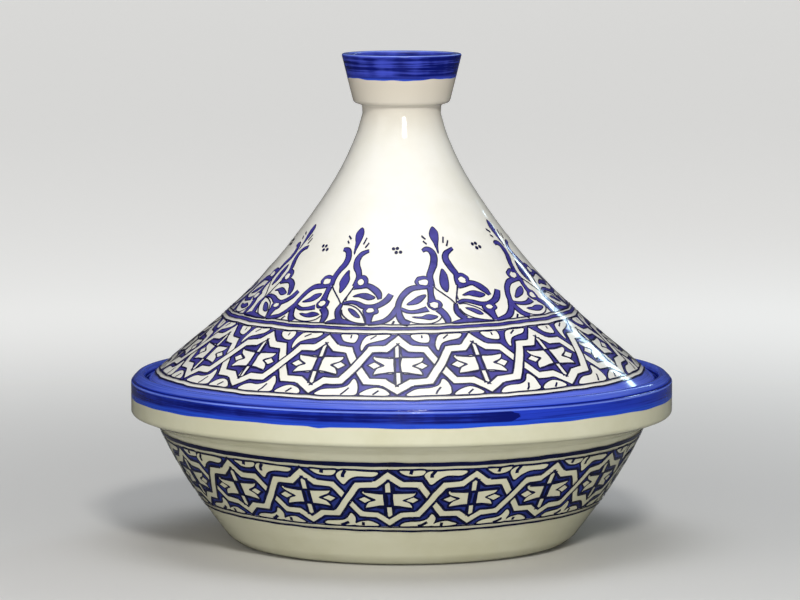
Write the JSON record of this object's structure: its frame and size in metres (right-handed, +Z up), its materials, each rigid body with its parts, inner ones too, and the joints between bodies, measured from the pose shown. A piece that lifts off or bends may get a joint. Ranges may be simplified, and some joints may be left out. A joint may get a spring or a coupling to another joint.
{
  "type": "lidded ceramic tagine pot",
  "caption": "Round glazed pot: a wide footed dish with a rolled rim and inner ledge, and a loose hollow conical lid with a cup-shaped knob, painted in cobalt blue.",
  "frame": {"origin": "middle of the dish's foot, on the table", "axes": "+Z up along the pot's axis, +X to the right and -Y towards the viewer of the painted front"},
  "size_m": [0.3, 0.3, 0.271],
  "materials": {
    "dish_glaze": "glossy cream glaze, with a cobalt blue rim and a painted band of blue stars",
    "lid_glaze": "glossy white glaze, with a painted band of blue stars, plant ornament above it and a blue knob edge"
  },
  "bodies": {
    "root": {"dish": "dish_glaze", "lid": "lid_glaze"}
  },
  "joints": []
}
